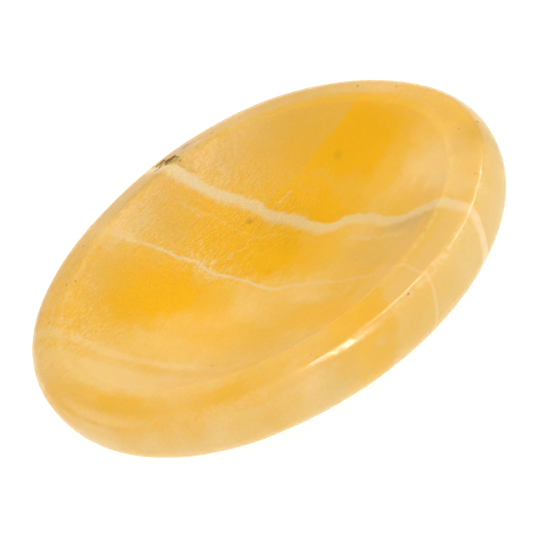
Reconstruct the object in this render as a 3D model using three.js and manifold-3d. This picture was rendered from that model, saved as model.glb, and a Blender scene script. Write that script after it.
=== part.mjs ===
// Yellow calcite worry stone: one oval piece of calcite, cut and polished, with a thumb dish in its top.
// Millimetres, +Z up, the long axis along X. The origin is under the middle of the stone, on the
// surface that its small flat rests on.
import * as THREE from 'three';
import { ParametricGeometry } from 'three/addons/geometries/ParametricGeometry.js';
import { mergeVertices } from 'three/addons/utils/BufferGeometryUtils.js';
import Module from 'manifold-3d';

// Outside of the stone, seen from above. A wave adds cos * cos(turns * angle) + sin * sin(turns * angle)
// to both half widths, because the oval was ground by hand.
const LENGTH = 45;
const WIDTH = 33.5;
const OUTLINE_WAVES = [
  { turns: 3, cos: -0.05, sin: -0.13 },
  { turns: 4, cos: 0, sin: -0.09 },
  { turns: 5, cos: 0.06, sin: 0 },
];

// Side view. The girdle is the widest line. It leans: level + alongX * cos(angle) + alongY * sin(angle).
const GIRDLE_HEIGHT = { level: 5.9, alongX: -0.4, alongY: 0.9 };
const RIDGE_HEIGHT = 7.9;
const RIDGE_INSET = { level: 1, alongX: -0.07, alongY: 0.33 };
const FLAT_SHARE = 0.42; // the resting flat, as a share of the girdle's half widths
const UNDERSIDE_FULLNESS = 2.6; // 2 is an ellipse in section, more is fuller

// Thumb dish: a bowl inside an oval edge, a little higher than the ridge.
const DISH_LENGTH = 37.8;
const DISH_WIDTH = 27.3;
const DISH_CENTRE = { x: -0.16, y: 0.03 };
const DISH_EDGE_HEIGHT = 8.5;
const DISH_DEPTH = 3.7;
const DISH_WAVES = [
  { turns: 3, cos: -0.07, sin: -0.18 },
  { turns: 4, cos: 0.15, sin: -0.02 },
];

// How far each edge's rounding reaches from the sharp line, along the surface on each side of it.
const RIDGE_ROUND = 0.7;
const DISH_EDGE_ROUND = 1.6;

// Where the straight stretches beside those edges are taken to start: how far up the wall, as a share of its
// rise, and how far out in the dish, as a share of its radius.
const WALL_BELOW_RIDGE = 0.8;
const DISH_INSIDE_EDGE = 0.9;
const WALL_TOP_RING = 0.7; // the highest plain ring of the wall, as a share of its rise
const WELD_DISTANCE = 1e-4; // points closer than this are one point

// Chip on the far rim: a shallow break of two scallops. Each is a lump with these half sizes, turned
// about Z, whose middle is at a point beside the ridge.
const CHIP = [
  { at: [-2.8, 15.65, 8.1], half: [0.85, 0.6, 0.5], turn: 0.2 },
  { at: [-1.6, 15.6, 8.15], half: [0.9, 0.5, 0.45], turn: 0.05 },
];

// Rings of the mesh from the middle of the flat to the middle of the dish, and steps around.
const AROUND = 88;
const UNDERSIDE_RINGS = 9;
const WALL_RINGS = 2;
const ROUND_RINGS = 3;
const DISH_RINGS = 9;

const wave = (waves, angle) => waves.reduce(
  (sum, w) => sum + w.cos * Math.cos(w.turns * angle) + w.sin * Math.sin(w.turns * angle), 0);

const lean = (value, angle) => value.level + value.alongX * Math.cos(angle) + value.alongY * Math.sin(angle);

// A point of the outside at this angle: the outline times share, pulled in by inset, at height z.
function outside(angle, share, inset, z) {
  const extra = wave(OUTLINE_WAVES, angle) - inset;
  return new THREE.Vector3(
    share * (LENGTH / 2 + extra) * Math.cos(angle),
    share * (WIDTH / 2 + extra) * Math.sin(angle),
    z,
  );
}

// A superellipse quarter from the flat's edge, at turn 0, to the girdle, at turn 1.
function underside(angle, turn) {
  const quarter = turn * Math.PI / 2;
  const power = 2 / UNDERSIDE_FULLNESS;
  const out = Math.sin(quarter) ** power;
  const up = 1 - Math.cos(quarter) ** power;
  return outside(angle, FLAT_SHARE + (1 - FLAT_SHARE) * out, 0, lean(GIRDLE_HEIGHT, angle) * up);
}

// The wall bulges from the ridge, at rise 1, out to the girdle, at rise 0.
function wall(angle, rise) {
  const z = THREE.MathUtils.lerp(lean(GIRDLE_HEIGHT, angle), RIDGE_HEIGHT, rise);
  return outside(angle, 1, lean(RIDGE_INSET, angle) * rise ** 2, z);
}

// The bowl, from its edge at share 1 to its lowest point at share 0.
function dish(angle, share) {
  const extra = wave(DISH_WAVES, angle);
  return new THREE.Vector3(
    DISH_CENTRE.x + share * (DISH_LENGTH / 2 + extra) * Math.cos(angle),
    DISH_CENTRE.y + share * (DISH_WIDTH / 2 + extra) * Math.sin(angle),
    DISH_EDGE_HEIGHT - DISH_DEPTH * (1 - share ** 2),
  );
}

// Points that turn a sharp corner into a curve, which starts and ends at reach from the corner.
function rounded(before, corner, after, reach) {
  const start = corner.clone().add(before.clone().sub(corner).setLength(reach));
  const end = corner.clone().add(after.clone().sub(corner).setLength(reach));
  return new THREE.QuadraticBezierCurve3(start, corner, end).getPoints(ROUND_RINGS);
}

// One section of the stone at this angle, from the middle of the flat to the middle of the dish.
function section(angle) {
  const points = [new THREE.Vector3(0, 0, 0)];
  for (let i = 0; i <= UNDERSIDE_RINGS; i++) points.push(underside(angle, i / UNDERSIDE_RINGS));
  for (let i = 1; i <= WALL_RINGS; i++) points.push(wall(angle, WALL_TOP_RING * i / WALL_RINGS));
  const ridge = wall(angle, 1);
  const edge = dish(angle, 1);
  points.push(...rounded(wall(angle, WALL_BELOW_RIDGE), ridge, edge, RIDGE_ROUND));
  points.push(...rounded(ridge, edge, dish(angle, DISH_INSIDE_EDGE), DISH_EDGE_ROUND / 2));
  const last = 1 - DISH_EDGE_ROUND / DISH_WIDTH;
  for (let i = 1; i <= DISH_RINGS; i++) points.push(dish(angle, last * (1 - i / DISH_RINGS)));
  return points;
}

const wasm = await Module();
wasm.setup();

function toSolid(geometry) {
  const bare = geometry.clone();
  bare.deleteAttribute('normal');
  bare.deleteAttribute('uv');
  const welded = mergeVertices(bare, WELD_DISTANCE);
  return new wasm.Manifold(new wasm.Mesh({
    numProp: 3,
    vertProperties: new Float32Array(welded.attributes.position.array),
    triVerts: new Uint32Array(welded.index.array),
  }));
}

function toGeometry(solid) {
  const mesh = solid.getMesh();
  const geometry = new THREE.BufferGeometry();
  geometry.setAttribute('position', new THREE.BufferAttribute(mesh.vertProperties, 3));
  geometry.setIndex(new THREE.BufferAttribute(mesh.triVerts, 1));
  geometry.computeVertexNormals();
  return geometry;
}

// The whole stone before the chip: sections joined around, with the angle running from 0 to a full turn.
function polishedStone() {
  const sections = [];
  for (let i = 0; i < AROUND; i++) sections.push(section(2 * Math.PI * i / AROUND));
  const rings = sections[0].length - 1;
  const place = (around, along, target) => {
    const angleStep = Math.round(around * AROUND) % AROUND;
    target.copy(sections[angleStep][Math.round(along * rings)]);
  };
  return toSolid(new ParametricGeometry(place, AROUND, rings));
}

// A lump of a few flat facets, which is taken out of the rim.
function chipTool({ at, half, turn }) {
  const lump = new THREE.IcosahedronGeometry(1, 1);
  lump.scale(...half);
  lump.rotateZ(turn);
  lump.translate(...at);
  return toSolid(lump);
}

const stone = CHIP.reduce((solid, chip) => solid.subtract(chipTool(chip)), polishedStone());

const calcite = new THREE.MeshStandardMaterial({
  name: 'yellow_calcite',
  color: '#efb03a',
  roughness: 0.35,
  metalness: 0,
  flatShading: true,
});

const worryStone = new THREE.Mesh(toGeometry(stone), calcite);
worryStone.name = 'worry_stone';

const group = new THREE.Group();
group.add(worryStone);

export default group;
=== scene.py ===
import math

import bmesh
import bpy
import numpy as np
from bpy.props import FloatProperty, FloatVectorProperty, IntProperty, PointerProperty
from mathutils import Matrix, Vector, noise


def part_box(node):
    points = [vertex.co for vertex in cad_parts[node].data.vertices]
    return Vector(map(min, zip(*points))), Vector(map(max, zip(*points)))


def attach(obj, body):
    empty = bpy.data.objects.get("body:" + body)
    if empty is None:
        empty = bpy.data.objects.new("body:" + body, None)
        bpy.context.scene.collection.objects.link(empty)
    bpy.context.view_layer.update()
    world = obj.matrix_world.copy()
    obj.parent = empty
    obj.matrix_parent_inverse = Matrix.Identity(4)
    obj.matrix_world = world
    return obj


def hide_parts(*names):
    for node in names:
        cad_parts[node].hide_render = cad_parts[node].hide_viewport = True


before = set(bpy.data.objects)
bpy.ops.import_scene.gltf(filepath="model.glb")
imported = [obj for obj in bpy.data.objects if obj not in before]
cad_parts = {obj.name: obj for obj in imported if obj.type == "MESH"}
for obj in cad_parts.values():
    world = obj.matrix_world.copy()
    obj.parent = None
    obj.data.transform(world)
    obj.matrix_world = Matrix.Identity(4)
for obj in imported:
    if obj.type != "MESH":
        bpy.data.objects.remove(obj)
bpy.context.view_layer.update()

bl_info = {
    "name": "Yellow calcite worry stone",
    "version": (1, 0, 0),
    "blender": (4, 5, 0),
    "location": "View3D > Sidebar > Worry stone",
    "description": "Makes a polished oval worry stone of yellow calcite and a plain stage for it",
    "category": "Add Mesh",
}

MM = 0.001
LONG_EDGE = 0.075 * MM  # edges longer than this are cut finer at the chip and the pits
# Sockets of the node that mixes two colours, by number because their names repeat.
SHARE, UNDER, OVER, MIXED = 0, 6, 7, 2
STONE_NODE = "worry_stone"
LOW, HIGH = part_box(STONE_NODE)

# Waves of the ground oval: turns around, then the cosine and sine parts in millimetres.
OUTLINE_WAVES = ((3, -0.05, -0.13), (4, 0.0, -0.09), (5, 0.06, 0.0))
DISH_WAVES = ((3, -0.07, -0.18), (4, 0.15, -0.02))

# The calcite grew in layers. This unit vector points across them, from the old side to the young one.
ACROSS_LAYERS = Vector((0.73, 0.57, -0.38)).normalized()
# It points along the layers, level, towards the far rim.
ALONG_LAYERS = Vector((-ACROSS_LAYERS.y, ACROSS_LAYERS.x, 0.0)).normalized()
FIBRE_ANGLE = math.radians(22)  # direction of the fibres, from the right end, seen from above

# Bends of the two veins, in millimetres: how far along the layers, then how far off the flat sheet. Their
# strengths: how far along, then how opaque.
MAIN_VEIN_BENDS = (
    (-20.0, 0.4), (-17.0, 0.3), (-13.4, 0.05), (-11.0, -0.3), (-9.5, -0.05), (-7.4, 0.4), (-5.6, 0.25),
    (-4.0, -0.4), (-2.6, -0.45), (-1.0, -0.13), (0.9, 0.0), (2.1, -0.12), (3.3, 0.2), (5.0, 0.32), (7.8, 0.1),
    (10.0, 0.18), (12.0, 0.15), (15.0, 0.3),
)
SECOND_VEIN_BENDS = (
    (-18.0, 0.0), (-14.6, 0.12), (-12.0, -0.03), (-8.5, 0.12), (-5.5, 0.2), (-3.0, -0.1), (-1.4, -0.5),
    (0.0, -0.25), (3.0, 0.03), (5.0, 0.08), (6.8, 0.42), (9.6, 0.3), (11.5, 0.1), (13.0, -0.2), (14.8, -0.5),
    (17.0, 0.1),
)
MAIN_VEIN_STRENGTH = ((-20.0, 1.0), (-15.5, 1.0), (-12.0, 0.85), (6.0, 0.9), (10.0, 1.0), (16.0, 0.9))
SECOND_VEIN_STRENGTH = ((-20.0, 0.5), (-8.0, 0.35), (0.0, 0.75), (6.0, 0.9), (11.0, 0.65), (17.0, 0.4))
FAINT_VEIN_BENDS = ((-4.0, 0.2), (0.3, 0.22), (3.1, -0.32), (5.9, 0.06), (7.8, 0.18), (10.5, 0.0))
FAINT_VEIN_STRENGTH = ((-4.0, 0.0), (0.0, 0.08), (5.0, 0.15), (8.0, 0.2), (11.0, 0.0))
# Each vein's sheet, as how far across the layers it lies, its bends, its half width and its strengths.
VEINS = (
    (2.738, MAIN_VEIN_BENDS, 0.5, MAIN_VEIN_STRENGTH),
    (-3.575, SECOND_VEIN_BENDS, 0.17, SECOND_VEIN_STRENGTH),
    (0.9, FAINT_VEIN_BENDS, 0.11, FAINT_VEIN_STRENGTH),
)

DEEP_STOP = 0.8  # where the deep honey lies, between the palest and the deepest colour
CLOUD_HEIGHT = 12.0  # half height of every cloud, in millimetres
# Clouds in the stone, where they meet the top: x and y of the middle, half size across and along the layers,
# and how much deeper (or, below zero, paler) the colour is there. Millimetres.
CLOUDS = (
    (-9.2, 5.0, 3.2, 5.0, 0.62),
    (-7.0, 1.4, 2.2, 4.0, 0.22),
    (-12.5, 7.0, 3.0, 3.5, 0.12),
    (-2.4, 8.2, 3.0, 5.0, 0.72),
    (-0.4, 2.8, 3.0, 4.2, 0.6),
    (0.8, 1.2, 2.4, 3.0, 0.58),
    (3.8, 11.0, 2.2, 2.5, 0.25),
    (8.0, 0.5, 2.0, 3.0, 0.05),
    (-11.4, 3.8, 2.8, 3.2, 0.45),
    (6.5, 8.5, 2.4, 3.4, 0.35),
    (13.0, -5.5, 2.2, 3.5, 0.25),
    (5.2, 4.0, 1.8, 6.5, 0.62),
    (3.6, 4.8, 1.6, 2.2, 0.12),
    (7.2, -5.4, 1.5, 2.5, 0.1),
    (16.2, 3.1, 1.8, 2.5, 0.1),
    (-17.0, -1.8, 1.5, 2.5, 0.1),
    (12.0, 6.6, 6.0, 6.5, 0.24),
    (0.9, -9.5, 2.0, 4.0, 0.2),
    (4.6, -14.0, 1.8, 2.0, 0.35),
    (11.0, -11.9, 2.4, 2.4, 0.1),
    (2.5, -15.8, 3.0, 4.5, 0.3),
    (-7.0, -14.0, 3.5, 3.0, 0.15),
    (3.0, -0.5, 2.5, 4.0, 0.25),
    (10.5, 9.5, 3.0, 4.0, 0.2),
    (-12.0, -4.0, 5.5, 8.0, -0.15),
    (-1.0, -5.5, 3.2, 6.5, -0.15),
    (9.5, -5.0, 3.0, 4.5, -0.18),
    (16.5, -4.5, 3.8, 5.0, -0.4),
    (-20.0, 3.5, 2.6, 6.0, -0.12),
    (3.0, 13.4, 5.5, 3.0, -0.15),
    (-9.0, 13.0, 3.0, 3.0, -0.25),
    (5.5, 11.0, 1.6, 3.0, -0.12),
    (-4.2, 3.0, 1.6, 2.0, -0.18),
    (8.3, 2.5, 1.8, 2.4, -0.15),
    (-4.0, -3.0, 1.8, 2.4, -0.1),
    (1.5, -5.2, 1.8, 2.5, -0.12),
    (-11.7, -6.6, 1.8, 3.0, -0.14),
    (-1.9, -11.6, 2.2, 4.0, -0.12),
    (-8.5, 8.5, 1.8, 2.8, -0.12),
)
# How much deeper the honey colour is across the oldest layers: how far across in millimetres, then the change.
OLD_LAYERS = (
    (-24.0, 0.0), (-21.0, -0.1), (-20.4, 0.05), (-19.2, 0.02), (-18.4, -0.15), (-17.0, -0.12), (-16.2, -0.08),
    (-15.4, 0.1), (-14.9, 0.02), (-14.45, -0.22), (-13.9, 0.0), (-12.0, 0.0), (24.0, 0.0),
)
# How the honey colour changes around the stone, just inside the dish's edge and then on the rim: direction from
# the right end in degrees, then the change. It is paler below zero.
INSIDE_EDGE = (
    (-180.0, -0.1), (-165.0, -0.35), (-150.0, -0.12), (-110.0, -0.15), (-60.0, -0.2), (-35.0, -0.1),
    (0.0, 0.0), (60.0, -0.05), (90.0, -0.05), (120.0, -0.3), (140.0, -0.05), (180.0, -0.1),
)
RIM = (
    (-180.0, 0.05), (-165.0, 0.0), (-150.0, 0.12), (-135.0, 0.0), (-120.0, 0.2), (-105.0, -0.05), (-80.0, 0.0),
    (-60.0, -0.35), (-45.0, -0.25), (-25.0, 0.08), (0.0, 0.1), (20.0, 0.0), (42.0, -0.5), (70.0, -0.05),
    (95.0, -0.5), (125.0, 0.0), (145.0, 0.08), (165.0, 0.0), (180.0, 0.05),
)
WALL = (
    (-180.0, 0.08), (-165.0, 0.15), (-140.0, 0.15), (-130.0, 0.08), (-115.0, 0.0), (-103.0, 0.06), (-93.0, -0.05),
    (-80.0, 0.06), (-60.0, 0.04), (-48.0, -0.08), (-35.0, 0.0), (-20.0, 0.08), (0.0, 0.05), (180.0, 0.08),
)
# How dull the margin and then the wall are, by direction in degrees. On the margin this is partly duller stone, with
# painted shade on the near right and a painted grey reflection on the far side; on the wall it is painted shade.
MARGIN_DULL_AND_SHADE = (
    (-180.0, 0.25), (-75.0, 0.25), (-60.0, 0.5), (-45.0, 0.45), (-30.0, 0.25), (0.0, 0.2), (60.0, 0.25),
    (85.0, 0.65), (110.0, 0.8), (124.0, 0.35), (150.0, 0.2), (180.0, 0.25),
)
WALL_PAINTED_SHADE = (
    (-180.0, 0.0), (-90.0, 0.0), (-72.0, 0.15), (-40.0, 0.35), (-20.0, 0.5), (-5.0, 0.85), (30.0, 0.9),
    (148.0, 0.8), (168.0, 0.0), (180.0, 0.0),
)
# How strong the painted glints on the dish's edge are, and then the painted highlight on the ridge: direction from
# the right end in degrees, then the strength.
EDGE_PAINTED_GLINTS = (
    (-180.0, 0.25), (-168.0, 0.35), (-150.0, 0.25), (-138.0, 0.0), (-75.0, 0.0), (-60.0, 0.55), (-30.0, 0.5),
    (-10.0, 0.0), (100.0, 0.0), (125.0, 0.6), (145.0, 0.35), (165.0, 0.4), (180.0, 0.25),
)
RIDGE_PAINTED_HIGHLIGHT = (
    (-180.0, 0.0), (-140.0, 0.0), (-130.0, 0.35), (-110.0, 0.35), (-103.0, 0.0), (-90.0, 0.2), (-82.0, 0.8),
    (-77.0, 0.4), (-68.0, 0.4), (-60.0, 0.9), (-50.0, 0.7), (-40.0, 0.7), (-36.0, 0.5), (-32.0, 1.0),
    (-26.0, 0.9), (-20.0, 0.1), (0.0, 0.0), (180.0, 0.0),
)
# A crystal of deeper honey: its middle and half sizes, and its flat faces. Each face has a level direction
# pointing out of the crystal, how far along it the face lies, and how blurred it is. Millimetres.
CRYSTAL = (12.6, 5.0, 4.6, 5.5)
CRYSTAL_FACES = ((((-0.17, 0.985), 5.3), 0.15), (((0.92, 0.39), 16.9), 0.6), (((0.25, -0.97), 1.8), 0.9))
# Dull patches, as clouds are given: partly duller stone, partly painted shade on the near right edge and the right
# end, and a painted grey sheen on the far slope of the dish.
DULL_AND_SHADE_CLOUDS = (
    (-5.5, 11.4, 4.0, 4.5, 0.4),
    (4.5, 13.4, 5.0, 3.0, 0.5),
    (-12.5, 10.5, 4.5, 5.0, 0.35),
    (-1.5, 15.2, 2.5, 3.5, 0.5),
    (13.6, -10.6, 2.2, 2.6, 0.5),
    (9.0, -7.0, 3.0, 4.5, 0.35),
    (20.5, -4.0, 2.5, 4.0, 0.45),
    (0.0, -15.0, 2.0, 5.0, 0.2),
)
# Grey patches of painted shade, beside the main vein and along the far silhouette, and then painted light where the
# stone is made brighter or, below zero, painted shade where it is made darker, as clouds are given.
GREY_SHADE_CLOUDS = ((12.0, -7.2, 1.1, 2.8, 0.6), (-1.5, 16.0, 3.5, 3.0, 0.6))
PAINTED_LIGHT_CLOUDS = (
    (-8.5, -3.0, 5.0, 6.0, 0.06),
    (15.0, -1.0, 3.5, 5.0, 0.05),
    (1.5, -12.0, 3.0, 5.0, 0.05),
    (3.5, 2.5, 2.5, 3.5, -0.05),
    (-9.0, 2.5, 3.0, 4.0, 0.03),
    (23.3, 2.5, 1.5, 5.0, -0.14),
    (22.5, -4.5, 1.2, 3.0, -0.08),
)
# Thin healed cracks: the two ends, each as x, y and z, the half width, all in millimetres, and the strength.
CRACKS = (
    ((-3.2, 3.3, 5.1), (0.2, 3.8, 5.1), 0.1, 0.35),
    ((-3.2, 10.5, 7.0), (-2.4, 8.6, 6.2), 0.12, 0.4),
    ((3.2, 5.4, 5.5), (5.6, 5.6, 5.7), 0.13, 0.4),
    ((3.4, 8.0, 6.2), (3.0, 6.4, 5.7), 0.14, 0.25),
    ((7.2, -3.3, 5.6), (10.6, -7.6, 7.1), 0.3, 0.35),
    ((-0.9, 13.9, 8.3), (1.1, 14.7, 8.2), 0.2, 0.45),
)
# Dark lines beside the chip, as cracks are given: they paint the shade along the far rim's edge and dirt at the chip.
DIRT_AND_SHADE_LINES = (
    ((-3.5, 14.8, 8.1), (-1.6, 15.3, 7.9), 0.14, 0.7),
    ((-1.6, 15.3, 7.9), (0.6, 15.4, 7.9), 0.12, 0.5),
    ((-1.5, 13.6, 8.3), (-0.7, 12.3, 7.6), 0.1, 0.2),
)

# Scallops of the chip on the far rim, in millimetres: middle, half sizes, turn about Z in radians.
CHIP_SCALLOPS = (
    ((-2.9, 15.55, 8.2), (0.7, 0.7, 0.6), 0.25),
    ((-1.9, 14.9, 8.35), (0.8, 0.75, 0.4), 0.1),
)
# Pits in the polish, in millimetres: x and y of the middle, half length, half width, depth. Last, how dirty.
PITS = (
    (8.0, -14.75, 0.2, 0.12, 0.12, 0.5),
    (2.5, 14.8, 0.2, 0.1, 0.12, 0.5),
    (15.4, 9.7, 0.14, 0.12, 0.1, 0.35),
    (18.1, 7.0, 0.14, 0.1, 0.1, 0.25),
    (21.75, -1.8, 0.15, 0.07, 0.12, 0.8),
    (20.0, -1.9, 0.12, 0.1, 0.1, 0.25),
    (18.7, -7.3, 0.12, 0.1, 0.08, 0.25),
    (13.8, -1.3, 0.12, 0.1, 0.06, 0.25),
    (-14.9, 8.1, 0.16, 0.1, 0.1, 0.2),
    (-15.75, 8.4, 0.16, 0.12, 0.1, 0.25),
    (-18.7, 5.7, 0.14, 0.1, 0.1, 0.2),
    (-12.6, 11.6, 0.16, 0.1, 0.1, 0.35),
    (-10.4, -0.5, 0.12, 0.1, 0.06, 0.3),
    (-1.25, 13.85, 0.16, 0.1, 0.08, 0.4),
    (-7.6, 12.45, 0.35, 0.12, 0.08, 0.0),
    (-8.6, 12.1, 0.16, 0.1, 0.08, 0.0),
    (-12.6, 9.9, 0.2, 0.1, 0.06, 0.0),
    (-15.4, 7.9, 0.25, 0.1, 0.06, 0.0),
    (-17.3, 5.3, 0.2, 0.1, 0.06, 0.0),
    (-2.2, -13.1, 0.2, 0.12, 0.08, 0.0),
    (-1.7, -14.7, 0.2, 0.12, 0.08, 0.0),
    (11.3, -10.6, 0.3, 0.12, 0.06, 0.0),
    (12.3, -9.9, 0.2, 0.1, 0.06, 0.0),
)
# Small stains: x and y of the middle, half size, in millimetres, and strength.
STAINS = ((0.8, 5.5, 0.5, 0.55), (10.5, 5.25, 0.6, 0.25), (-8.9, -8.6, 0.3, 0.3))


def metres(name, description, millimetres, **limits):
    """A length property whose default is given in millimetres."""
    return FloatProperty(name=name, description=description, default=millimetres * MM,
                         subtype="DISTANCE", unit="LENGTH", precision=5, **limits)


def hex_colour(code):
    """An sRGB hex colour as linear red, green, blue and alpha."""
    channels = [int(code[i:i + 2], 16) / 255 for i in (1, 3, 5)]
    return (*[c / 12.92 if c <= 0.04045 else ((c + 0.055) / 1.055) ** 2.4 for c in channels], 1.0)


def colour(name, description, code):
    """A colour property whose default is an sRGB hex value."""
    return FloatVectorProperty(name=name, description=description, default=hex_colour(code),
                               subtype="COLOR", size=4, min=0.0, max=1.0)


class WorryStoneShape(bpy.types.PropertyGroup):
    """Sizes of the stone."""

    length: metres("Length", "Longest side of the oval", (HIGH.x - LOW.x) / MM)
    width: metres("Width", "Shorter side of the oval", 33.5)
    girdle_height: metres("Girdle height", "Height of the widest line", 5.9)
    girdle_lean_x: metres("Girdle lean along", "How much the girdle rises towards the right end", -0.4)
    girdle_lean_y: metres("Girdle lean across", "How much the girdle rises towards the far side", 0.9)
    ridge_height: metres("Ridge height", "Height of the rim's outer edge", 7.9)
    ridge_inset: metres("Ridge inset", "How far the rim's outer edge stands in from the girdle", 1.0)
    ridge_inset_x: metres("Ridge inset along", "How much the inset grows towards the right end", -0.07)
    ridge_inset_y: metres("Ridge inset across", "How much the inset grows towards the far side", 0.33)
    ridge_round: metres("Ridge rounding", "Reach of the outer edge's rounding", 0.6)
    flat_share: FloatProperty(name="Flat share", description="Resting flat as a share of the girdle",
                              default=0.42, min=0.1, max=0.9, subtype="FACTOR")
    fullness: FloatProperty(name="Underside fullness", description="Superellipse power of the underside",
                            default=2.6, min=2.0, max=5.0)
    dish_length: metres("Dish length", "Length of the thumb dish", 37.8)
    dish_width: metres("Dish width", "Width of the thumb dish", 27.3)
    dish_x: metres("Dish offset along", "Dish middle along the stone", -0.16)
    dish_y: metres("Dish offset across", "Dish middle across the stone", 0.03)
    dish_edge_height: metres("Dish edge height", "Height of the dish's edge", 8.5)
    dish_depth: metres("Dish depth", "Depth of the dish below its edge", 3.7)
    dish_edge_round: metres("Dish edge rounding", "Reach of the dish edge's rounding", 0.75)
    softness: FloatProperty(name="Softness", description="How much rounder both edges are on the softest side",
                            default=0.4, min=0.0, max=0.6, subtype="FACTOR")
    soft_side: FloatProperty(name="Soft side", description="Direction of the softest side, from the right end",
                             default=math.radians(215), subtype="ANGLE")
    waviness: metres("Waviness", "Height of the slow waves that hand grinding leaves", 0.03)
    around: IntProperty(name="Steps around", description="Mesh steps around the oval", default=560, min=60)


class WorryStoneColours(bpy.types.PropertyGroup):
    """Colours of the calcite."""

    deep: colour("Deep honey", "Dense colour inside the stone", "#E7B300")
    deepest: colour("Deepest honey", "Densest colour inside the stone", "#E6B400")
    honey: colour("Honey", "Usual colour of the stone", "#E5BA46")
    pale: colour("Pale", "Milky colour between the clouds", "#E8CC8B")
    # The dull beige also paints shade, and a grey reflection on the far margin, where the dulling curves and patches
    # put it
    grey: colour("Dull beige", "Dull stone along the far rim", "#D1B160")
    # The rim grey paints shade beside the main vein and along the far silhouette
    shade_grey: colour("Rim grey", "Grey milky patches on the rim", "#C9AE7A")
    vein: colour("Vein cream", "Cream of the veins", "#E1CD9E")
    # Wall cream also paints the highlight on the ridge and the glints on the dish's edge
    band: colour("Wall cream", "Brighter cream of the veins on the wall", "#EAD2A0")
    stain: colour("Olive stain", "Small mineral stains", "#A87A14")
    scar: colour("Scar brown", "Dirt in the chip and pits", "#6B4A22")


class WorryStoneStage(bpy.types.PropertyGroup):
    """Camera and light."""

    elevation: FloatProperty(name="Elevation", description="Camera height angle", subtype="ANGLE",
                             default=math.radians(44.77))
    azimuth: FloatProperty(name="Azimuth", description="Camera angle around the stone", subtype="ANGLE",
                           default=math.radians(-2.84))
    roll: FloatProperty(name="Roll", description="Turn of the picture", subtype="ANGLE",
                        default=math.radians(-31.01))
    distance: metres("Distance", "Camera distance from its target", 300.0)
    aim_right: metres("Aim right", "Target's shift along the picture's width", -0.547)
    aim_up: metres("Aim up", "Target's shift along the picture's height", 0.491)
    aim_height: metres("Aim height", "Height of the target before its shift", 4.0)
    lens: FloatProperty(name="Lens", description="Focal length for a 36 mm wide sensor", default=232.5)
    key_power: FloatProperty(name="Key power", description="Tall softbox over the camera", default=1.9, min=0.0)
    side_power: FloatProperty(name="Side power", description="Long strip lights at both sides", default=0.9, min=0.0)
    top_power: FloatProperty(name="Top power", description="Small softbox overhead", default=0.24, min=0.0)
    horizon: FloatProperty(name="Horizon", description="Brightness of the white room near the table",
                           default=0.33, min=0.0)
    far_horizon: FloatProperty(name="Far horizon", description="The same behind the stone", default=0.65, min=0.0)
    upper: FloatProperty(name="Upper room", description="Brightness above the camera", default=0.55, min=0.0)
    ceiling: colour("Ceiling", "White of the room above the camera", "#FFFAF2")
    back: FloatProperty(name="Back wall", description="Brightness behind the stone", default=0.68, min=0.0)
    back_wall: colour("Back wall colour", "Warm white behind the stone", "#FFD884")
    table_glow: FloatProperty(name="Table glow", description="Light that the white table gives off", default=0.88,
                              min=0.0)


def wave(waves, angle):
    """Sum of the ground oval's waves at these angles, in metres."""
    return MM * sum(c * np.cos(k * angle) + s * np.sin(k * angle) for k, c, s in waves)


def outside_ring(shape, angle, share, inset, height):
    """Points of the outside: the outline times share, pulled in by inset."""
    extra = wave(OUTLINE_WAVES, angle) - inset
    x = share * (shape.length / 2 + extra) * np.cos(angle)
    y = share * (shape.width / 2 + extra) * np.sin(angle)
    return np.column_stack([x, y, np.broadcast_to(height, angle.shape)])


def girdle(shape, angle):
    """Height of the widest line at these angles."""
    return shape.girdle_height + shape.girdle_lean_x * np.cos(angle) + shape.girdle_lean_y * np.sin(angle)


def underside_ring(shape, angle, turn):
    """A ring of the superellipse from the flat's edge, at turn 0, to the girdle, at turn 1."""
    quarter, power = turn * math.pi / 2, 2 / shape.fullness
    share = shape.flat_share + (1 - shape.flat_share) * math.sin(quarter) ** power
    rise = 1 - max(math.cos(quarter), 0.0) ** power
    return outside_ring(shape, angle, share, 0.0, girdle(shape, angle) * rise)


def wall_ring(shape, angle, rise):
    """A ring of the wall, which bulges from the ridge, at rise 1, out to the girdle, at rise 0."""
    low = girdle(shape, angle)
    inset = shape.ridge_inset + shape.ridge_inset_x * np.cos(angle) + shape.ridge_inset_y * np.sin(angle)
    return outside_ring(shape, angle, 1.0, inset * rise ** 2, low + (shape.ridge_height - low) * rise)


def dish_ring(shape, angle, share):
    """A ring of the bowl, from its edge at share 1 to its lowest point at share 0."""
    extra = wave(DISH_WAVES, angle)
    x = shape.dish_x + share * (shape.dish_length / 2 + extra) * np.cos(angle)
    y = shape.dish_y + share * (shape.dish_width / 2 + extra) * np.sin(angle)
    height = shape.dish_edge_height - shape.dish_depth * (1 - share ** 2)
    return np.column_stack([x, y, np.broadcast_to(height, angle.shape)])


def part_way(corner, other, reach):
    """A ring at reach from the corner ring, on the straight line to the other ring."""
    line = other - corner
    return corner + line * (reach / np.linalg.norm(line, axis=1))[:, None]


def rounded_rings(start, corner, end, steps):
    """Rings of the curve that rounds a sharp corner ring between a start and an end ring."""
    return [(1 - s) ** 2 * start + 2 * s * (1 - s) * corner + s * s * end for s in np.linspace(0, 1, steps)]


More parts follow.
